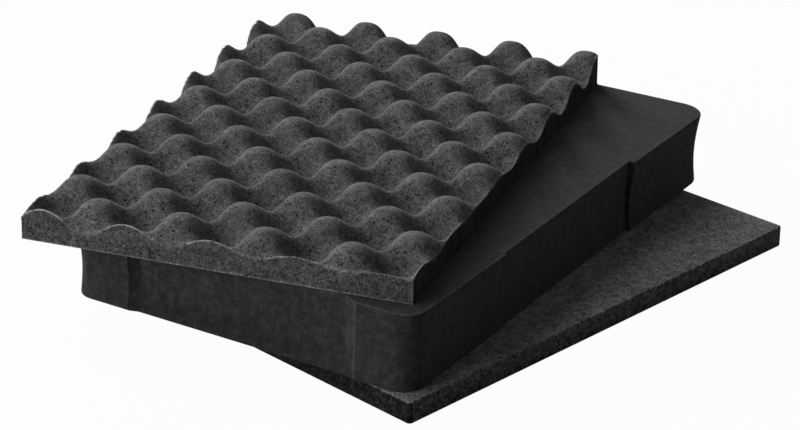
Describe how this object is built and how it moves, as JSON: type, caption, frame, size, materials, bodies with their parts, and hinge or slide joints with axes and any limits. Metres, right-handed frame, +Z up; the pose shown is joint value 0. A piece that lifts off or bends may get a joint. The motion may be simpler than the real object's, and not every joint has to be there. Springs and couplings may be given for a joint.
{
  "type": "foam case insert",
  "caption": "Loose foam set for a hard equipment case: thin base pad, thick middle block with shallow side recesses and egg-crate lid foam, stacked flat and fanned out.",
  "frame": {"origin": "centre of the stack's bounding box, on the surface that the base pad stands on", "axes": "+Z up through the stack; X along the middle block's short side and Y along its long side, the front recess on the -Y side and the long side's recess on the +X side"},
  "size_m": [0.4572, 0.4666, 0.0979],
  "materials": {
    "open_cell_foam": "open-cell polyurethane foam, charcoal, matte",
    "fine_foam": "fine-celled polyurethane foam, dark charcoal, matte"
  },
  "bodies": {
    "root": {"base_pad": "open_cell_foam", "middle_block": "fine_foam", "lid_foam": "open_cell_foam"}
  },
  "joints": []
}
